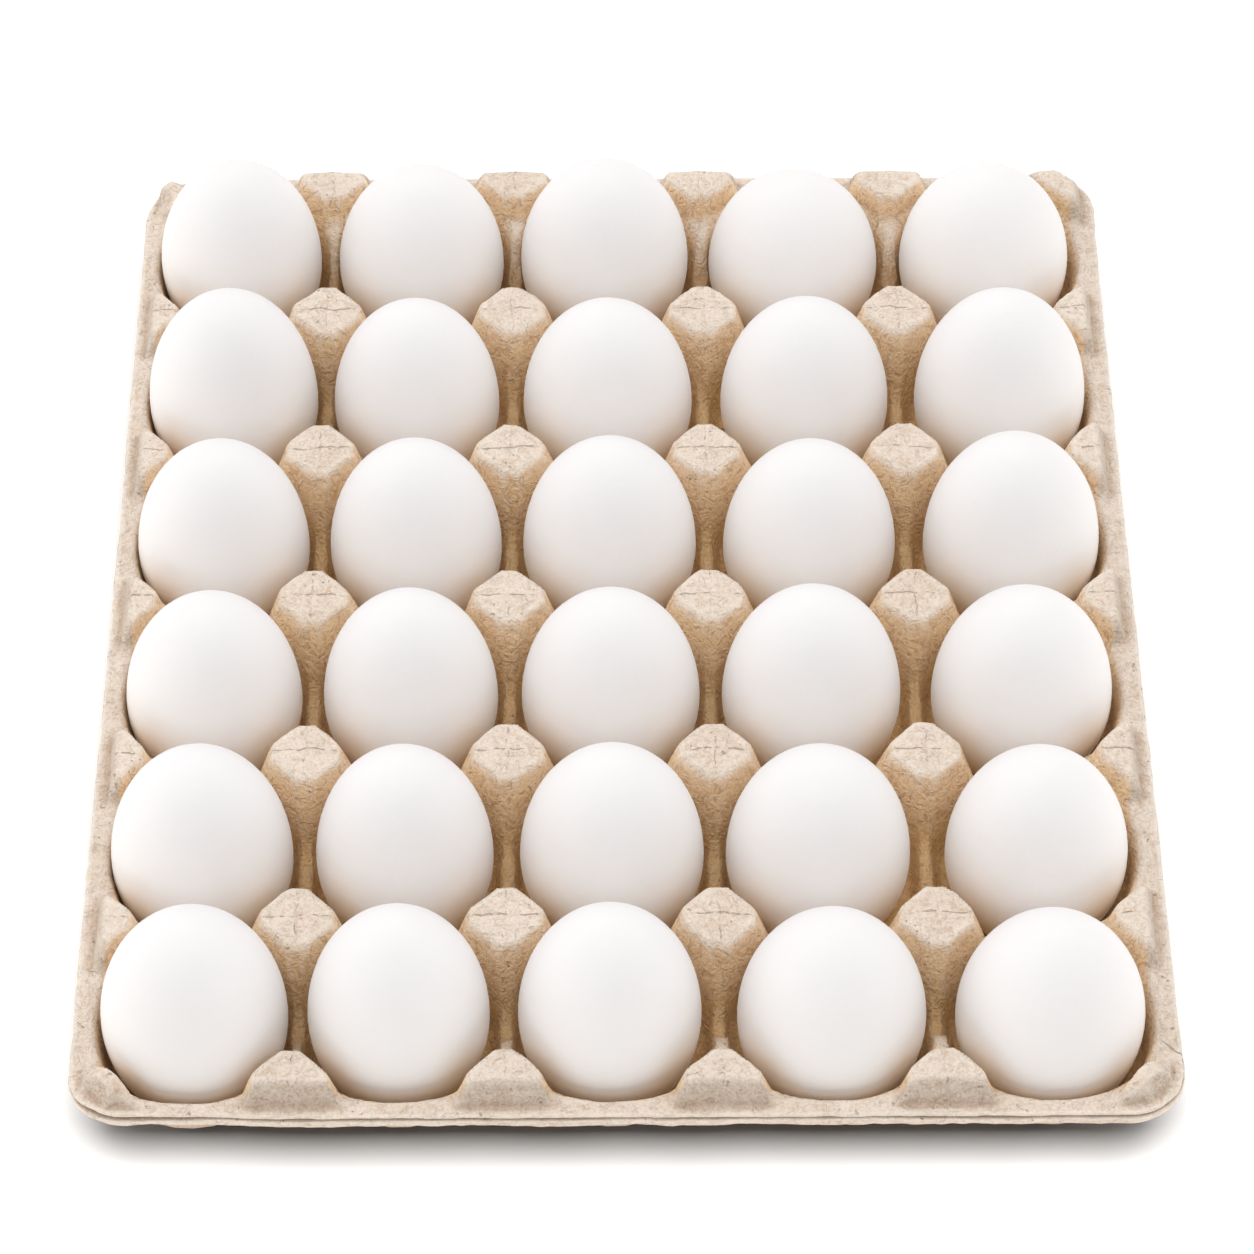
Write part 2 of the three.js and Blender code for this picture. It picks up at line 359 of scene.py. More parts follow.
def bowl_height(x, y):
    """A round floor, a slope that carries the egg and a gutter next to the webs."""
    dx, dy, out_x, out_y = place_in_cell(x, y)
    far = np.hypot(dx, dy)
    out = soft_max(far - FOOT_REACH, 0, BOWL_SOFTNESS)
    slope = -FLOOR_DROP + out * BOWL_SLOPE
    gutter_starts = (FLOOR_DROP - GUTTER_DROP) / BOWL_SLOPE
    gutter = soft_min(slope, -GUTTER_DROP + (out - gutter_starts) * GUTTER_SLOPE, BOWL_SOFTNESS)
    plain = soft_min(slope, -RIM_GUTTER_DROP, BOWL_SOFTNESS)
    to_rim = ramp(np.maximum(out_x, out_y) / np.maximum(far, 1), RIM_GUTTER_START, RIM_GUTTER_FULL)
    return gutter + to_rim * (plain - gutter)


def rim_wall_height(x, y):
    """The flange and the steep inner wall under its rounded edge, in the outermost cells."""
    dx, dy, out_x, out_y = place_in_cell(x, y)
    along_x = CUP_SIDE_SHARE * np.abs(dx)
    along_y = CUP_SIDE_SHARE * np.abs(dy)
    power = CUP_ROUNDNESS
    to_front = np.where(out_y > 0, along_x ** power + out_y ** power, 0)
    to_side = np.where(out_x > 0, along_y ** power + out_x ** power, 0)
    reach = np.maximum(to_front, to_side) ** (1 / power)
    fall = soft_max(CUP_REACH - reach, 0, RIM_WALL_SOFTNESS)
    return -FLANGE_DROP - fall / RIM_WALL_RUN * (RIM_WALL_FOOT_DROP - FLANGE_DROP)


def top_height(x, y):
    """The face that the eggs rest on."""
    height = soft_max(post_height(x, y), web_height(x, y), HOLLOW_SOFTNESS)
    height = soft_max(height, bowl_height(x, y), HOLLOW_SOFTNESS)
    return soft_max(height, rim_wall_height(x, y), RIM_SOFTNESS)


class HeightMap:
    """Heights on a fine square grid, read between its points."""

    STEP = 0.36
    MARGIN = 7

    def __init__(self, heights):
        self.heights = heights

    @classmethod
    def of(cls, height):
        xs = np.arange(outer_left - cls.MARGIN, outer_right + cls.MARGIN, cls.STEP)
        ys = np.arange(outer_front - cls.MARGIN, outer_back + cls.MARGIN, cls.STEP)
        return cls(height(*np.meshgrid(xs, ys)))

    def sunk(self, depth):
        """The map of a face that lies deeper, measured square to this one, but not below the feet."""
        reach = int(depth / self.STEP)
        heights = self.heights - depth
        for a in range(-reach, reach + 1):
            for b in range(-reach, reach + 1):
                far = self.STEP * math.hypot(a, b)
                if far <= depth:
                    near = np.roll(self.heights, (a, b), (0, 1)) - math.sqrt(depth * depth - far * far)
                    heights = np.minimum(heights, near)
        return HeightMap(np.maximum(heights, -FOOT_DROP))

    def at(self, x, y):
        u = (x - outer_left + self.MARGIN) / self.STEP
        v = (y - outer_front + self.MARGIN) / self.STEP
        i = np.clip(u.astype(int), 0, self.heights.shape[1] - 2)
        j = np.clip(v.astype(int), 0, self.heights.shape[0] - 2)
        u, v = u - i, v - j
        h = self.heights
        low = h[j, i] * (1 - u) + h[j, i + 1] * u
        high = h[j + 1, i] * (1 - u) + h[j + 1, i + 1] * u
        return low * (1 - v) + high * v

    def places(self, x, y):
        """Points on the face."""
        return np.stack([x, y, self.at(x, y)], -1)

    def normals(self, x, y):
        """Unit directions square to the face."""
        reach = self.STEP
        slope_x = (self.at(x + reach, y) - self.at(x - reach, y)) / (2 * reach)
        slope_y = (self.at(x, y + reach) - self.at(x, y - reach)) / (2 * reach)
        normal = np.stack([-slope_x, -slope_y, np.ones_like(slope_x)], -1)
        return normal / np.linalg.norm(normal, axis=-1, keepdims=True)


def grid_lines(lines, low, high):
    """Lines close together over posts and rim and wider over the bowls, an odd number in all."""
    steps = np.linspace(low, high, MEASURE_STEPS)
    away = np.abs(steps[:, None] - lines).min(-1)
    spacing = np.interp(away, POST_ZONE, [FINE_SPACING, WIDE_SPACING])
    edge = np.minimum(steps - low, high - steps)
    spacing = np.minimum(spacing, np.interp(edge, RIM_ZONE, [RIM_SPACING, WIDE_SPACING]))
    density = 1 / spacing
    count = np.concatenate([[0], np.cumsum((density[1:] + density[:-1]) / 2 * np.diff(steps))])
    number = 2 * round(count[-1] / 2) + 1
    return np.interp(np.linspace(0, count[-1], number), count, steps)


def rounded_place(x, y):
    """Near the rim's corners a square of grid lines becomes an arc."""
    radius = by_corner(x, y, CORNER_RADIUS) - EDGE_INSET
    centre_x = np.clip(x, outer_left + EDGE_INSET + radius, outer_right - EDGE_INSET - radius)
    centre_y = np.clip(y, outer_front + EDGE_INSET + radius, outer_back - EDGE_INSET - radius)
    dx = x - centre_x
    dy = y - centre_y
    far = np.maximum(np.abs(dx), np.abs(dy))
    scale = np.where((dx == 0) | (dy == 0), 1, far / np.maximum(np.hypot(dx, dy), TINY))
    return centre_x + dx * scale, centre_y + dy * scale


def widen_rim(x, y):
    """The flange spreads a little at the left front and along the right, as moulded trays do."""
    from_left = ramp(x, outer_left + RIM_SPREAD_REACH, outer_left)
    from_right = ramp(x, outer_right - RIM_SPREAD_REACH, outer_right)
    from_front = ramp(y, outer_front + RIM_SPREAD_REACH, outer_front)
    left = np.interp(y, *LEFT_SPREAD)
    right = np.interp(y, *RIGHT_SPREAD)
    front = np.interp(x, *FRONT_SPREAD)
    return x - left * from_left + right * from_right, y - front * from_front


def plan_grid():
    """The grid of the upper face seen from above, an odd number of points each way."""
    xs = grid_lines(column_lines, outer_left + EDGE_INSET, outer_right - EDGE_INSET)
    ys = grid_lines(row_lines, outer_front + EDGE_INSET, outer_back - EDGE_INSET)
    return widen_rim(*rounded_place(*np.meshgrid(xs, ys)))


def even_out(places, face, rounds):
    """Slides grid points along a face until they lie evenly, also on the steep walls."""
    for _ in range(rounds):
        inner = places[1:-1, 1:-1]
        mean = (places[:-2, 1:-1] + places[2:, 1:-1] + places[1:-1, :-2] + places[1:-1, 2:]) / 4
        normal = face.normals(inner[..., 0], inner[..., 1])
        move = mean - inner
        move -= (move * normal).sum(-1, keepdims=True) * normal
        moved = inner + SLIDE_SHARE * move
        for _ in range(RETURN_ROUNDS):
            miss = moved[..., 2] - face.at(moved[..., 0], moved[..., 1])
            moved = moved - (RETURN_SHARE * miss * normal[..., 2])[..., None] * normal
        places[1:-1, 1:-1] = moved
    return face.places(places[..., 0], places[..., 1])


def upper_face(x, y, top):
    """The face that the eggs rest on, with the pulp's relief."""
    places = even_out(top.places(x, y), top, UPPER_ROUNDS)
    x, y, z = np.moveaxis(places, -1, 0)
    relief = sum(waves.at(x, y, z) for waves in surface_waves)
    return places + relief[..., None] * top.normals(x, y)


def lower_face(x, y, top):
    """The underside, a wall's thickness deeper, with the front row's feet tucked in behind the lip."""
    under = top.sunk(WALL)
    places = even_out(under.places(x, y), under, LOWER_ROUNDS)
    x, y, z = np.moveaxis(places, -1, 0)
    dx, dy, _, out_y = place_in_cell(x, y)
    tucked = -FOOT_DROP + (np.hypot(dx, dy) - FRONT_FOOT_REACH) * BOWL_SLOPE
    tucked = np.minimum(tucked, top.at(x, y) - THINNEST)
    in_front = (out_y > 0) & (dy < 0)
    places[..., 2] = np.where(in_front, np.maximum(z, tucked), z)
    return places


def loop_of(wide, deep):
    """Numbers of a grid's edge points, once round, seen anticlockwise from above."""
    front = [i for i in range(wide - 1)]
    right = [j * wide + wide - 1 for j in range(deep - 1)]
    back = [(deep - 1) * wide + i for i in range(wide - 1, 0, -1)]
    left = [j * wide for j in range(deep - 1, 0, -1)]
    return np.array(front + right + back + left)


def outward_of(ring):
    """Level unit directions that lead out of a ring of points."""
    along = np.roll(ring, -1, 0) - np.roll(ring, 1, 0)
    outward = np.stack([along[:, 1], -along[:, 0]], -1)
    return outward / np.linalg.norm(outward, axis=-1, keepdims=True)


def lip_rings(ring, outward):
    """A ring of points, with its painted shade, for each point of the section of the rim's edge."""
    x, y = ring[:, 0], ring[:, 1]
    from_corner = np.hypot(x - outer_left - SLIT_CORNER_AT, y - outer_front)
    more = SLIT_CORNER_MORE * ramp(from_corner, SLIT_CORNER_FAR, SLIT_CORNER_NEAR)
    slit = np.clip(SLIT_WIDTH + slit_waves.at(x, y) + more, 0, SLIT_MOST)
    ragged = sum(waves.at(x, y) for waves in ragged_waves)
    for out, down, dark in LIP_SECTION:
        sway = lip_waves.at(x, y, LIP_WAVE_STEP * down)
        if down > SLIT_LEVELS[0]:
            sway = sway + SLIT_LEAN * slit + lower_ply_waves.at(x, y)
        made = ring.copy()
        made[:, :2] += outward * (out + sway)[:, None]
        opened = slit * np.interp(down, SLIT_LEVELS, SLIT_SHARES)
        roughened = ragged * np.interp(down, RAGGED_LEVELS, RAGGED_SHARES)
        made[:, 2] = -FLANGE_DROP - down - opened + roughened
        yield made, dark


def grid_faces(first, wide, deep, facing_up=True):
    """Four-sided faces between the points of a grid whose first point has the given number."""
    index = first + np.arange(deep * wide).reshape(deep, wide)
    corners = [index[:-1, :-1], index[:-1, 1:], index[1:, 1:], index[1:, :-1]]
    if not facing_up:
        corners = corners[:1] + corners[:0:-1]
    return np.stack(corners, -1).reshape(-1, 4).tolist()


def ring_faces(upper, lower):
    """Four-sided faces between two rings with a like number of points."""
    return np.stack([upper, lower, np.roll(lower, -1), np.roll(upper, -1)], -1).tolist()


def joining_faces(outer, inner):
    """Triangles from a ring to one with half its points."""
    first, second, third = outer[::2], outer[1::2], np.roll(outer, -2)[::2]
    low, after = inner, np.roll(inner, -1)
    corners = [first, low, second, second, low, after, second, after, third]
    return np.stack(corners, -1).reshape(-1, 3).tolist()


def tray_mesh():
    """One closed shell: points, faces, the painted shade of each point, and how many lie on the upper face.
    """
    top = HeightMap.of(top_height)
    flat_x, flat_y = plan_grid()
    upper = upper_face(flat_x, flat_y, top)
    under = lower_face(flat_x[::2, ::2], flat_y[::2, ::2], top)
    deep, wide = upper.shape[:2]
    under_deep, under_wide = under.shape[:2]
    upper = upper.reshape(-1, 3)
    under = under.reshape(-1, 3)

    edge = loop_of(wide, deep)
    outward = outward_of(upper[edge])
    points = [upper]
    shade = [np.zeros(len(upper))]
    rings = [edge]
    count = len(upper)
    for made, dark in lip_rings(upper[edge], outward):
        points.append(made)
        shade.append(np.full(len(made), dark))
        rings.append(np.arange(count, count + len(made)))
        count += len(made)

    under_edge = loop_of(under_wide, under_deep)
    last = points[-1][::2]
    under[under_edge, :2] = last[:, :2] - outward[::2] * UNDER_INSET
    under[under_edge, 2] = last[:, 2] + UNDER_RISE
    points.append(under)
    # The underside gets painted shade that deepens away from the lip.
    shade.append(np.clip((-under[:, 2] - LIP_DROP) / UNDER_SHADE_RUN, *UNDER_SHADE))

    faces = grid_faces(0, wide, deep)
    faces += grid_faces(count, under_wide, under_deep, facing_up=False)
    for above, below in zip(rings, rings[1:]):
        faces += ring_faces(above, below)
    faces += joining_faces(rings[-1], count + under_edge)
    return np.concatenate(points), faces, np.concatenate(shade), len(upper)


def solid_object(name, points, faces, material):
    mesh = bpy.data.meshes.new(name)
    placed = (points - [middle_x, middle_y, -FOOT_DROP]) * MM
    mesh.from_pydata(placed.tolist(), [], faces)
    mesh.materials.append(material)
    mesh.shade_smooth()
    mesh.update()
    piece = bpy.data.objects.new(name, mesh)
    bpy.context.scene.collection.objects.link(piece)
    return piece


class Finish:
    """A material under construction: adds nodes and joins them."""

    def __init__(self, name):
        self.material = bpy.data.materials.new(name)
        self.material.use_nodes = True
        self.nodes = self.material.node_tree.nodes
        self.links = self.material.node_tree.links
        self.nodes.clear()
        self.shader = self.nodes.new("ShaderNodeBsdfPrincipled")
        out = self.nodes.new("ShaderNodeOutputMaterial")
        self.links.new(self.shader.outputs[0], out.inputs[0])
        self.coordinates = self.nodes.new("ShaderNodeTexCoord").outputs["Object"]

    def plug(self, socket, value):
        if hasattr(value, "is_output"):
            self.links.new(value, socket)
        elif value is not None:
            socket.default_value = value

    def put(self, name, value):
        """Gives the shader a number, a colour or another node's result."""
        self.plug(self.shader.inputs[name], value)

    def place(self):
        """X, Y and Z in metres, one socket each."""
        node = self.nodes.new("ShaderNodeSeparateXYZ")
        self.links.new(self.coordinates, node.inputs[0])
        return node.outputs

    def math(self, kind, first, second=None, third=None):
        node = self.nodes.new("ShaderNodeMath")
        node.operation = kind
        for socket, value in zip(node.inputs, (first, second, third)):
            self.plug(socket, value)
        return node.outputs[0]

    def attribute(self, name):
        node = self.nodes.new("ShaderNodeAttribute")
        node.attribute_name = name
        return node.outputs["Fac"]

    def noise(self, size_mm, detail=2, distortion=0):
        node = self.nodes.new("ShaderNodeTexNoise")
        self.plug(node.inputs["Vector"], self.coordinates)
        node.inputs["Scale"].default_value = 1000 / size_mm
        node.inputs["Detail"].default_value = detail
        node.inputs["Distortion"].default_value = distortion
        return node.outputs["Fac"]

    def span(self, value, low, high, new_low, new_high, smooth=False):
        """Turns the stretch from low to high into another one and is level beyond its ends."""
        node = self.nodes.new("ShaderNodeMapRange")
        node.interpolation_type = "SMOOTHSTEP" if smooth else "LINEAR"
        for socket, given in zip(node.inputs, (value, low, high, new_low, new_high)):
            self.plug(socket, given)
        return node.outputs[0]

    def blend(self, share, first, second, kind="MIX"):
        node = self.nodes.new("ShaderNodeMix")
        node.data_type = "RGBA"
        node.blend_type = kind
        self.plug(node.inputs["Factor"], share)
        self.plug(node.inputs[6], first)
        self.plug(node.inputs[7], second)
        return node.outputs[2]

    def darken(self, share, colour, tint):
        """Multiplies the tint onto the colour."""
        return self.blend(share, colour, tint, "MULTIPLY")

    def bump(self, height, depth_mm, strength):
        node = self.nodes.new("ShaderNodeBump")
        node.inputs["Strength"].default_value = strength
        node.inputs["Distance"].default_value = depth_mm * MM
        self.plug(node.inputs["Height"], height)
        return node.outputs[0]


# Colours of the pulp, and the tints that darken it. The warm wall colour is painted warm shade, the golden
# cup colour painted bounce light, the light edge colour a painted highlight with some real rubbing, and the
# crease and outer face tints painted shade.
PULP_PALE = (0.89, 0.765, 0.655, 1)
PULP_WARM_SHADE = (0.98, 0.70, 0.42, 1)
PULP_DEEP_BOUNCE = (0.99, 0.68, 0.34, 1)
PULP_RUBBED_AND_HIGHLIT = (0.97, 0.88, 0.78, 1)
LIGHT_FIBRE = (0.95, 0.87, 0.78, 1)
SPECK_BROWN = (0.45, 0.28, 0.16, 1)
CRACK_AND_SHADE_BROWN = (0.24, 0.14, 0.08, 1)
PATCH_TINT = (0.88, 0.83, 0.77, 1)
FURROW_TINT = (0.76, 0.66, 0.56, 1)
GRAIN_TINT = (0.78, 0.70, 0.60, 1)
CREASE_SHADE_TINT = (0.60, 0.48, 0.38, 1)
OUTER_FACE_SHADE_TINT = (0.74, 0.71, 0.68, 1)

# Sizes of the pulp's pattern and the depth of its relief
PATCH_SIZE = 11
SWIRL_SIZE = 3.4
SWIRL_FOLDS = 3.2
GRAIN_SIZE = 0.75
SPECK_SIZE = 1.3
SPECK_GROUP_SIZE = 6
PULP_RELIEF = 0.5

# Seams on the post tops: how far they wander, their width, where they end and their gaps.
# The depths are shares of the cups' depth, and a point that has no seam near is NO_SEAM away from one.
SEAM_WANDER = 3.0
SEAM_WANDER_SIZE = 5
SEAM_CORE = 0.08
ROW_SEAM_HALF = 0.21
COLUMN_SEAM_HALF = 0.17
SEAM_FADE = 7.0
SEAM_END = 8.4
SEAM_GAP_SIZE = 2.6
SEAM_GAP_RUN = 0.06
SEAM_IN_GAPS = 0.15
SEAM_DEPTH_START = 0.03
SEAM_DEPTH_END = 0.06
SEAM_DARKNESS = 0.42
NO_SEAM = 20

# The tear's wander to either side, its dark core and edge, and how far it reaches from its start
TEAR_WANDER = 0.6
TEAR_WANDER_SIZE = 2.5
TEAR_CORE = 0.10
TEAR_HALF = 0.34
TEAR_START_RUN = 1
TEAR_REACH = 6


def post_seams(pulp):
    """Thin cracks across each post: a broken one along the row and a fainter one from front to back."""
    wander = pulp.noise(SEAM_WANDER_SIZE, detail=3)
    broken = pulp.noise(SEAM_GAP_SIZE, detail=1)
    seams = []
    for along, off, half, gap_end, strength in (
        ("post_x", "off_row_seam", ROW_SEAM_HALF, 0.46, 0.9),
        ("post_y", "off_column_seam", COLUMN_SEAM_HALF, 0.52, 0.6),
    ):
        shifted = pulp.math("MULTIPLY_ADD", wander, SEAM_WANDER, pulp.attribute(off))
        distance = pulp.math("ABSOLUTE", pulp.math("SUBTRACT", shifted, SEAM_WANDER / 2))
        line = pulp.span(distance, SEAM_CORE, half, strength, 0, smooth=True)
        from_middle = pulp.math("ABSOLUTE", pulp.attribute(along))
        within = pulp.span(from_middle, SEAM_FADE, SEAM_END, 1, 0)
        kept = pulp.span(broken, gap_end, gap_end + SEAM_GAP_RUN, SEAM_IN_GAPS, 1)
        seams.append(pulp.math("MULTIPLY", pulp.math("MULTIPLY", line, within), kept))
    on_top = pulp.span(pulp.attribute("depth"), SEAM_DEPTH_START, SEAM_DEPTH_END, 1, 0)
    return pulp.math("MULTIPLY", pulp.math("MAXIMUM", *seams), on_top)


def torn_edge(pulp):
    """A crack that runs from the flange to its edge near the right front corner."""
    x, y, _ = pulp.place()
    middle = np.array([middle_x, middle_y])
    start = ((TEAR_START - middle) * MM).tolist()
    end = ((TEAR_END - middle) * MM).tolist()
    length = math.dist(start, end)
    along_x = (end[0] - start[0]) / length
    along_y = (end[1] - start[1]) / length
    offset = along_y * start[0] - along_x * start[1]
    across = pulp.math("MULTIPLY_ADD", x, along_y, -offset)
    across = pulp.math("MULTIPLY_ADD", y, -along_x, across)
    wander = pulp.span(pulp.noise(TEAR_WANDER_SIZE), 0.3, 0.7, -TEAR_WANDER * MM, TEAR_WANDER * MM)
    distance = pulp.math("ABSOLUTE", pulp.math("ADD", across, wander))
    line = pulp.span(distance, TEAR_CORE * MM, TEAR_HALF * MM, 1, 0, smooth=True)
    beyond = pulp.span(x, start[0], start[0] + TEAR_START_RUN * MM, 0, 1)
    nearby = pulp.math("LESS_THAN", y, start[1] + TEAR_REACH * MM)
    return pulp.math("MULTIPLY", line, pulp.math("MULTIPLY", beyond, nearby))


def clean_pulp(pulp, patches, folds, grain):
    """The pulp without specks and seams: pale on top, with painted warm shade on steep walls, painted
    golden bounce light in the cups, painted highlights and some rubbing on edges, and painted shade in
    creases and on outer faces.
    """
    warm_shade = pulp.attribute("warm_shade")
    deep = pulp.attribute("deep")
    edge = pulp.attribute("edge")
    # The warm colour on steep walls, deep flats and the underside is painted warm shade.
    colour = pulp.blend(warm_shade, PULP_PALE, PULP_WARM_SHADE)
    # The golden colour in the deep cups is painted bounce light.
    colour = pulp.blend(deep, colour, PULP_DEEP_BOUNCE)
    colour = pulp.darken(pulp.span(patches, 0.42, 0.68, 0, 0.5), colour, PATCH_TINT)

    furrows = pulp.span(folds, 0, 0.2, 1, 0, smooth=True)
    furrow_share = pulp.math("MULTIPLY", pulp.span(warm_shade, 0, 1, 0.5, 0.85), pulp.span(deep, 0, 1, 1, 0.4))
    colour = pulp.darken(pulp.math("MULTIPLY", furrows, furrow_share), colour, FURROW_TINT)
    colour = pulp.darken(pulp.span(grain, 0.36, 0.5, 0.42, 0), colour, GRAIN_TINT)
    colour = pulp.blend(pulp.span(grain, 0.52, 0.68, 0, 0.35), colour, LIGHT_FIBRE)

    # Convex edges turn lighter: a painted highlight, with some real rubbing of the pulp.
    rubbed_and_highlit = pulp.math("MULTIPLY", pulp.span(edge, 0.07, 0.4, 0, 0.6), pulp.span(deep, 0, 1, 1, 0.25))
    colour = pulp.blend(rubbed_and_highlit, colour, PULP_RUBBED_AND_HIGHLIT)
    # Creases turn darker: painted shade.
    colour = pulp.darken(pulp.span(edge, -0.25, -0.04, 0.55, 0), colour, CREASE_SHADE_TINT)
    # The outer faces of the rim and the corner facets turn greyer: painted shade on faces turned from the
    # light above.
    face = pulp.math("MULTIPLY", pulp.attribute("outer_face_shade"), pulp.span(grain, 0.35, 0.6, 1, 0.75))
    return pulp.darken(face, colour, OUTER_FACE_SHADE_TINT)


def moulded_pulp():
    """Rough dull pulp with furrows, grain, a few specks, seams on the posts, and painted shade in the slit
    and on the underside.
    """
    pulp = Finish("moulded_pulp")
    patches = pulp.noise(PATCH_SIZE, detail=3)
    swirl = pulp.noise(SWIRL_SIZE, distortion=0.9)
    folds = pulp.math("PINGPONG", pulp.math("MULTIPLY", swirl, SWIRL_FOLDS), 0.5)
    grain = pulp.noise(GRAIN_SIZE, distortion=0.6)
    single = pulp.span(pulp.noise(SPECK_SIZE, detail=1), 0.70, 0.75, 0, 1)
    grouped = pulp.span(pulp.noise(SPECK_GROUP_SIZE, detail=1), 0.54, 0.62, 0, 1)
    specks = pulp.math("MULTIPLY", single, grouped)
    seams = pulp.math("MAXIMUM", post_seams(pulp), torn_edge(pulp))

    colour = clean_pulp(pulp, patches, folds, grain)
    colour = pulp.blend(pulp.math("MULTIPLY", specks, 0.55), colour, SPECK_BROWN)
    # Darkest in the seams and the tear, which are real cracks, and in painted shade in the slit, under the
    # lip and on the underside.
    dark = pulp.math("MAXIMUM", pulp.math("MULTIPLY", seams, SEAM_DARKNESS), pulp.attribute("slit"))
    pulp.put("Base Color", pulp.blend(dark, colour, CRACK_AND_SHADE_BROWN))
    pulp.put("Roughness", pulp.span(grain, 0.3, 0.7, 0.98, 0.85))
    pulp.put("Specular IOR Level", 0.15)
    pulp.put("Sheen Weight", 0.1)

    height = pulp.math("MULTIPLY_ADD", folds, 1.1, pulp.math("MULTIPLY", grain, 0.9))
    height = pulp.math("MULTIPLY_ADD", patches, 0.8, height)
    height = pulp.math("SUBTRACT", height, pulp.math("ADD", seams, specks))
    pulp.put("Normal", pulp.bump(height, PULP_RELIEF, 1))
    return pulp.material


# Colours of the eggshell, and the tints of painted warm bounce light and shade on its lower parts
SHELL_WHITE = (0.94, 0.917, 0.917, 1)
SHELL_CLOUD = (0.925, 0.903, 0.90, 1)
SHELL_WARM_BOUNCE_TINT = (1.0, 0.985, 0.955, 1)
SHELL_LOW_BOUNCE_TINT = (1.0, 0.90, 0.79, 1)

# Heights above the ground between which each painted tint fades out, and the size of the pores and waves
WARM_BOUNCE_FADE = (28, 58)
LOW_BOUNCE_FADE = (14, 34)
CLOUD_SIZE = 9
PORE_SIZE = 1.3
WAVE_SIZE = 5
SHELL_RELIEF = 0.09


def eggshell():
    """White shell with faint clouds, with painted warm bounce light and shade towards its foot, a soft
    sheen and fine pores.
    """
    shell = Finish("eggshell")
    height = shell.place()[2]
    # Both tints below are painted warm bounce light and shade from the pulp.
    warm_shade = shell.span(height, WARM_BOUNCE_FADE[0] * MM, WARM_BOUNCE_FADE[1] * MM, 1, 0)
    low = shell.span(height, LOW_BOUNCE_FADE[0] * MM, LOW_BOUNCE_FADE[1] * MM, 1, 0, smooth=True)
    clouds = shell.span(shell.noise(CLOUD_SIZE), 0.4, 0.7, 0, 0.5)
    colour = shell.blend(clouds, SHELL_WHITE, SHELL_CLOUD)
    colour = shell.darken(warm_shade, colour, SHELL_WARM_BOUNCE_TINT)
    shell.put("Base Color", shell.darken(low, colour, SHELL_LOW_BOUNCE_TINT))
    shell.put("Specular IOR Level", 0.25)
    shell.put("Sheen Weight", 0.8)
    shell.put("Sheen Roughness", 0.15)

    pores = shell.noise(PORE_SIZE, detail=3)
    waves = shell.noise(WAVE_SIZE, detail=1)
    shell.put("Roughness", shell.span(pores, 0.3, 0.7, 0.5, 0.65))
    relief = shell.math("MULTIPLY_ADD", waves, 1.5, pores)
    shell.put("Normal", shell.bump(relief, SHELL_RELIEF, 0.6))
    return shell.material


def pale_paper():
    """Dull paper for the floor; its own lamp makes it white."""
    paper = Finish("pale_paper")
    paper.put("Base Color", (0.203, 0.200, 0.196, 1))
    paper.put("Roughness", 0.9)
    paper.put("Specular IOR Level", 0)
    return paper.material


# How a point's place on the tray decides its colour: where painted warm shade, painted bounce light in the
# cups and painted shade on the outer faces go
# A face is wholly steep where its normal points up by no more than STEEP_NORMAL. INSIDE and CORNER_FACET
# are distances in from the foot of the outer faces, WARM and DEEP are depths below the post tops.
STEEP_NORMAL = 1 - 1 / 1.7
INSIDE_START = 2.6
INSIDE_END = 3.4
WARM_FLAT_START = 8
WARM_FLAT_END = 11.5
WARM_FLAT_SHARE = 0.75
WARM_WALL_START = -9.6
WARM_WALL_END = 6.4
WARM_BELOW = 0.25
DEEP_START = 13.8
DEEP_END = 18.8
CORNER_FACET_START = 10.2
CORNER_FACET_RUN = 2 / 3
FACET_STEEPNESS = 1.6
FACET_MOST = 0.8
OUTER_FACE_END = 0.3


def colour_shares(points, normals, upper_count):
    """How far each point gets painted warm shade on the walls, painted bounce light in the deep cups and
    painted shade on the outer faces.
    """
    x, y, z = points.T
    depth = -z
    steep = ramp(normals[:, 2], 1, STEEP_NORMAL)
    inside = ramp(-out_of_foot(x, y), INSIDE_START, INSIDE_END)
    flat = ramp(depth, WARM_FLAT_START, WARM_FLAT_END)
    flat = flat * (WARM_FLAT_SHARE + (1 - WARM_FLAT_SHARE) * steep)
    wall = steep * inside * ramp(depth, WARM_WALL_START, WARM_WALL_END)
    warm_shade = np.maximum(flat, wall)
    deep = ramp(depth, DEEP_START, DEEP_END)

    inward = sum(in_from_foot(x, y))
    # The corner mounds' outer facets also get painted shade.
    facet = ramp(inward, CORNER_FACET_START, CORNER_FACET_START - CORNER_FACET_RUN)
    facet = facet * np.clip(steep * FACET_STEEPNESS, 0, FACET_MOST)
    outer_face_shade = np.maximum(steep * (1 - inside), facet) * (depth < FLANGE_DROP - OUTER_FACE_END)
    warm_shade[upper_count:] = WARM_BELOW
    deep[upper_count:] = 0
    outer_face_shade[upper_count:] = 0
    return {
        "depth": np.clip(depth / FLOOR_DROP, 0, 1),
        "warm_shade": warm_shade,
        "deep": deep,
        "outer_face_shade": outer_face_shade,
    }


def edge_sharpness(mesh, points, normals):
    """How sharply the surface bends at each point: above 0 on edges and below 0 in creases."""
    edges = np.zeros(len(mesh.edges) * 2, np.int32)
    mesh.edges.foreach_get("vertices", edges)
    start, end = edges.reshape(-1, 2).T
    across = points[end] - points[start]
    length = np.linalg.norm(across, axis=1) + TINY
    bend = ((normals[end] - normals[start]) * across).sum(1) / length ** 2
    total = np.zeros(len(points))
    number = np.zeros(len(points))
    for side in (start, end):
        np.add.at(total, side, bend)
        np.add.at(number, side, 1)
    return np.clip(total / number, -1, 1)


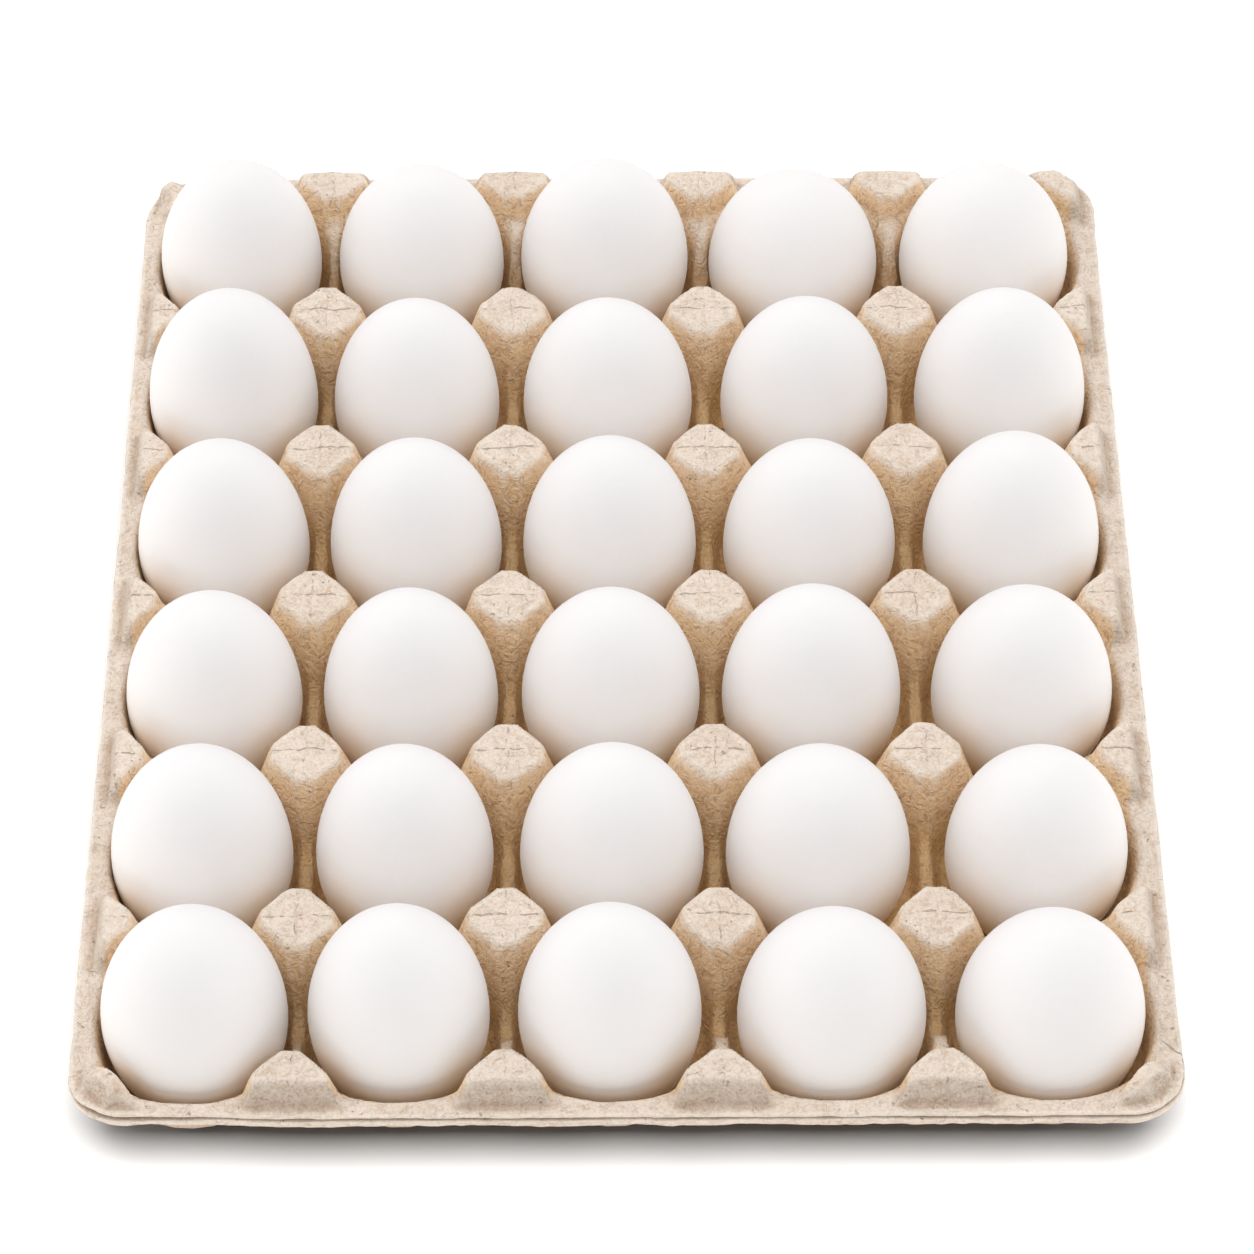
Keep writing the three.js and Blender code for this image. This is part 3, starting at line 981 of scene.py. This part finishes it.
def places_on_posts(points):
    """Where each point lies on its post and how far off its seams; none runs along the rim."""
    i = nearest(column_lines, points[:, 0])
    j = nearest(row_lines, points[:, 1])
    post_x = points[:, 0] - column_lines[i]
    post_y = points[:, 1] - row_lines[j]
    return {
        "post_x": post_x,
        "post_y": post_y,
        "off_row_seam": np.where((j == 0) | (j == ROWS), NO_SEAM, post_y),
        "off_column_seam": np.where((i == 0) | (i == COLUMNS), NO_SEAM, post_x),
    }


def make_tray(material):
    """The pulp tray, with what its finish needs to know of each point."""
    points, faces, shade, upper_count = tray_mesh()
    tray = solid_object("pulp_tray", points, faces, material)
    normals = np.zeros(len(points) * 3, np.float32)
    tray.data.vertices.foreach_get("normal", normals)
    normals = normals.reshape(-1, 3)
    attributes = colour_shares(points, normals, upper_count)
    # The slit values are painted shade: in the slit between the plies, on the lip's underside and under the
    # tray.
    attributes["slit"] = shade
    attributes["edge"] = edge_sharpness(tray.data, points, normals)
    attributes.update(places_on_posts(points))
    for name, values in attributes.items():
        layer = tray.data.attributes.new(name, "FLOAT", "POINT")
        layer.data.foreach_set("value", values.astype(np.float32))
    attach(tray, "root")
    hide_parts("tray")


# Eggs stand narrow end up; rows from the back, columns from the left
# A fullness is the share of an egg's height that lies below its waist, one for each row.
EGG_WIDTHS = [
    [42.9, 44.1, 44.8, 45.2, 45.2],
    [43.9, 43.1, 44.1, 43.8, 44.5],
    [43.5, 43.6, 44, 43.8, 44.7],
    [43.4, 43.1, 44.1, 44.2, 44.7],
    [43.6, 42.6, 44.2, 44.3, 43.9],
    [43.5, 42.4, 42.8, 44.1, 44.2],
]
EGG_SHIFTS = [
    [0, -0.2, -0.7, -0.8, -0.6],
    [0.3, -0.4, -0.1, 0.6, 0.6],
    [0.1, 0.5, 0.1, 0.2, 0.5],
    [0.2, 0.3, 0.1, -1.0, 0],
    [-0.1, 0, 0.1, -1.1, 0.3],
    [0.8, -0.2, -0.7, 0.3, 0.2],
]
EGG_TIPS = [
    [23.8, 21.5, 23.5, 18.5, 21],
    [26.5, 22.5, 22, 22.5, 25.5],
    [23, 23, 23.5, 22, 24.5],
    [22, 23, 22.5, 23.5, 22.5],
    [24, 24, 23.5, 22.5, 22],
    [25, 25.5, 25.5, 22.5, 21.5],
]
EGG_FULLNESS = [0.48, 0.44, 0.43, 0.43, 0.44, 0.48]
EGG_SEGMENTS = 64
EGG_RINGS = 40
REST_GAP = 0.3
FOOT_HALVINGS = 40


def egg_foot(radius, tip, fullness):
    """Lowest stand of an egg on the bowl's sloping walls or its floor."""
    low = -FLOOR_DROP + REST_GAP
    high = 0.0
    slant = math.hypot(BOWL_SLOPE, 1)

    def clear(foot):
        below = fullness * (tip - foot)
        reach = math.hypot(radius * BOWL_SLOPE, below) + REST_GAP * slant
        return foot + below + FLOOR_DROP + FLOOR_HALF * BOWL_SLOPE > reach

    if clear(low):
        return low
    for _ in range(FOOT_HALVINGS):
        middle = (low + high) / 2
        low, high = (low, middle) if clear(middle) else (middle, high)
    return high


class Tree:
    """A Geometry Nodes tree under construction."""

    def __init__(self, name):
        self.group = bpy.data.node_groups.new(name, "GeometryNodeTree")
        self.group.interface.new_socket("Geometry", in_out="OUTPUT", socket_type="NodeSocketGeometry")
        self.given = self.group.nodes.new("NodeGroupInput")
        self.result = self.group.nodes.new("NodeGroupOutput")

    def ask(self, name, kind, default):
        item = self.group.interface.new_socket(name, in_out="INPUT", socket_type=kind)
        item.default_value = default
        return item.identifier

    def add(self, kind, **settings):
        node = self.group.nodes.new(kind)
        for name, value in settings.items():
            setattr(node, name, value)
        return node

    def join(self, source, target):
        self.group.links.new(source, target)

    def math(self, operation, first, second):
        node = self.add("ShaderNodeMath", operation=operation)
        for socket, value in zip(node.inputs, (first, second)):
            if hasattr(value, "is_output"):
                self.join(value, socket)
            else:
                socket.default_value = value
        return node.outputs[0]


def egg_tree(material):
    """An egg is two half ellipsoids on one round waist: a blunt one below and a longer one above."""
    tree = Tree("egg_shape")
    inputs = {
        name: tree.ask(name, "NodeSocketFloat", size_mm * MM)
        for name, size_mm in (("Width", 44), ("Below", 24), ("Above", 31))
    }
    inputs["Waist"] = tree.ask("Waist", "NodeSocketVector", (0, 0, 0))
    given = tree.given.outputs
    ball = tree.add("GeometryNodeMeshUVSphere")
    ball.inputs["Segments"].default_value = EGG_SEGMENTS
    ball.inputs["Rings"].default_value = EGG_RINGS
    ball.inputs["Radius"].default_value = 1
    split = tree.add("ShaderNodeSeparateXYZ")
    tree.join(tree.add("GeometryNodeInputPosition").outputs[0], split.inputs[0])
    radius = tree.math("MULTIPLY", given["Width"], 0.5)
    upper = tree.math("MULTIPLY", tree.math("MAXIMUM", split.outputs[2], 0.0), given["Above"])
    lower = tree.math("MULTIPLY", tree.math("MINIMUM", split.outputs[2], 0.0), given["Below"])
    shaped = tree.add("ShaderNodeCombineXYZ")
    tree.join(tree.math("MULTIPLY", split.outputs[0], radius), shaped.inputs[0])
    tree.join(tree.math("MULTIPLY", split.outputs[1], radius), shaped.inputs[1])
    tree.join(tree.math("ADD", upper, lower), shaped.inputs[2])
    placed = tree.add("ShaderNodeVectorMath", operation="ADD")
    tree.join(shaped.outputs[0], placed.inputs[0])
    tree.join(given["Waist"], placed.inputs[1])
    move = tree.add("GeometryNodeSetPosition")
    tree.join(ball.outputs["Mesh"], move.inputs["Geometry"])
    tree.join(placed.outputs[0], move.inputs["Position"])
    smooth = tree.add("GeometryNodeSetShadeSmooth")
    tree.join(move.outputs[0], smooth.inputs["Geometry"])
    real = tree.add("GeometryNodeRealizeInstances")
    tree.join(smooth.outputs[0], real.inputs[0])
    paint = tree.add("GeometryNodeSetMaterial")
    paint.inputs["Material"].default_value = material
    tree.join(real.outputs[0], paint.inputs["Geometry"])
    tree.join(paint.outputs[0], tree.result.inputs[0])
    return tree.group, inputs


def with_tree(name, group, values):
    """An object whose shape comes from a tree; values are given by socket identifier."""
    piece = bpy.data.objects.new(name, bpy.data.meshes.new(name + "_blank"))
    bpy.context.scene.collection.objects.link(piece)
    modifier = piece.modifiers.new("shape", "NODES")
    modifier.node_group = group
    for identifier, value in values.items():
        modifier[identifier] = value
    return piece


def settle(pieces):
    """Turns each tree's result into a plain mesh and removes the tree."""
    graph = bpy.context.evaluated_depsgraph_get()
    meshes = [bpy.data.meshes.new_from_object(piece.evaluated_get(graph)) for piece in pieces]
    for piece, mesh in zip(pieces, meshes):
        piece.modifiers.clear()
        blank = piece.data
        piece.data = mesh
        mesh.name = piece.name
        bpy.data.meshes.remove(blank)


def make_eggs(material):
    """The thirty eggs, each out of the one tree with its own width, height and place."""
    group, inputs = egg_tree(material)
    eggs = []
    for row in range(ROWS):
        for column in range(COLUMNS):
            width = EGG_WIDTHS[row][column]
            tip = EGG_TIPS[row][column]
            foot = egg_foot(width / 2, tip, EGG_FULLNESS[row])
            below = EGG_FULLNESS[row] * (tip - foot)
            waist = (
                (column_middles[column] + EGG_SHIFTS[row][column] - middle_x) * MM,
                (row_middles[ROWS - 1 - row] - middle_y) * MM,
                (foot + below + FOOT_DROP) * MM,
            )
            values = {
                inputs["Width"]: width * MM,
                inputs["Below"]: below * MM,
                inputs["Above"]: (tip - foot - below) * MM,
                inputs["Waist"]: waist,
            }
            name = f"egg_row{row + 1}_col{column + 1}"
            eggs.append((with_tree("shell_" + name, group, values), name))
    settle([egg for egg, _ in eggs])
    for egg, node in eggs:
        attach(egg, "root")
        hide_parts(node)


# The camera stands in front of the tray and looks down on it: place in mm, angles in degrees
CAMERA_PLACE = (-8.107, -740.292, 887.009)
CAMERA_DOWN = 49.4359
CAMERA_ASIDE = 0.7120
CAMERA_ROLL = 0.3122
LENS = 129.245
FILM = 36
CAMERA_NEAR = 0.05
CAMERA_FAR = 20

# The lamp that lights the floor alone: elevation in degrees, distance and size in metres, watts
FLOOR_LAMP_ELEVATION = 67.8
FLOOR_LAMP_AWAY = 6.0
FLOOR_LAMP_SIZE = (3.0, 2.3)
FLOOR_LAMP_POWER = 2230
FLOOR_SHEET_HALF = 3.0

# Glowing sides of the light tent: azimuth, elevation, tightness and strength
TENT_GLOWS = [
    (0, 90, 2, 0.94),
    (0, 90, 8, 0.40),
    (-90, 22, 4, 1.68),
    (90, 22, 4, 1.38),
    (180, 10, 4, 0.70),
]


def direction_to(azimuth, elevation):
    """A unit direction from two angles in degrees; azimuth 0 is the front, 90 the right."""
    a = math.radians(azimuth)
    e = math.radians(elevation)
    return Vector((math.sin(a) * math.cos(e), -math.cos(a) * math.cos(e), math.sin(e)))


def make_camera():
    """It looks along +Y and down, turned a little aside and rolled a little about its own axis."""
    camera = bpy.data.objects.new("camera", bpy.data.cameras.new("camera"))
    bpy.context.scene.collection.objects.link(camera)
    forward = direction_to(180 - CAMERA_ASIDE, -CAMERA_DOWN)
    level = direction_to(90 - CAMERA_ASIDE, 0)
    rise = level.cross(forward)
    roll = math.radians(CAMERA_ROLL)
    right = math.cos(roll) * level + math.sin(roll) * rise
    up = math.cos(roll) * rise - math.sin(roll) * level
    turn = Matrix((right, up, -forward)).transposed().to_4x4()
    camera.matrix_world = Matrix.Translation(Vector(CAMERA_PLACE) * MM) @ turn
    camera.data.sensor_width = FILM
    camera.data.lens = LENS
    camera.data.clip_start = CAMERA_NEAR
    camera.data.clip_end = CAMERA_FAR
    bpy.context.scene.camera = camera


def light_floor(floor):
    """A lamp high in front that lights the floor alone, so that the tray's shadow on it stays soft."""
    lamp = bpy.data.objects.new("floor_front", bpy.data.lights.new("floor_front", "AREA"))
    bpy.context.scene.collection.objects.link(lamp)
    lamp.location = FLOOR_LAMP_AWAY * direction_to(0, FLOOR_LAMP_ELEVATION)
    lamp.rotation_euler = lamp.location.to_track_quat("Z", "Y").to_euler()
    lamp.data.shape = "RECTANGLE"
    lamp.data.size, lamp.data.size_y = FLOOR_LAMP_SIZE
    lamp.data.energy = FLOOR_LAMP_POWER
    lit = bpy.data.collections.new("lit_floor")
    lit.objects.link(floor)
    lamp.light_linking.receiver_collection = lit


def light_tent():
    """White light that comes softly from above, from both sides and a little from behind."""
    world = bpy.data.worlds.new("light_tent")
    world.use_nodes = True
    nodes = world.node_tree.nodes
    links = world.node_tree.links
    glow = nodes["Background"]
    glow.inputs["Color"].default_value = (1, 1, 1, 1)
    seen = nodes.new("ShaderNodeTexCoord").outputs["Generated"]
    total = None
    for azimuth, elevation, tightness, strength in TENT_GLOWS:
        facing = nodes.new("ShaderNodeVectorMath")
        facing.operation = "DOT_PRODUCT"
        facing.inputs[1].default_value = direction_to(azimuth, elevation)
        links.new(seen, facing.inputs[0])
        value = facing.outputs["Value"]
        for operation, number in (("MAXIMUM", 0), ("POWER", tightness), ("MULTIPLY", strength)):
            step = nodes.new("ShaderNodeMath")
            step.operation = operation
            step.inputs[1].default_value = number
            links.new(value, step.inputs[0])
            value = step.outputs[0]
        if total is not None:
            add = nodes.new("ShaderNodeMath")
            links.new(total, add.inputs[0])
            links.new(value, add.inputs[1])
            value = add.outputs[0]
        total = value
    links.new(total, glow.inputs["Strength"])
    return world


def make_surroundings():
    """A pale floor with its own lamp, and the light tent all round."""
    half = FLOOR_SHEET_HALF
    corners = [(-half, -half, 0), (half, -half, 0), (half, half, 0), (-half, half, 0)]
    sheet = bpy.data.meshes.new("floor")
    sheet.from_pydata(corners, [], [(0, 1, 2, 3)])
    sheet.materials.append(pale_paper())
    floor = bpy.data.objects.new("floor", sheet)
    bpy.context.scene.collection.objects.link(floor)
    light_floor(floor)
    bpy.context.scene.world = light_tent()
    bpy.context.scene.view_settings.view_transform = "Standard"


make_camera()
make_surroundings()
make_tray(moulded_pulp())
make_eggs(eggshell())
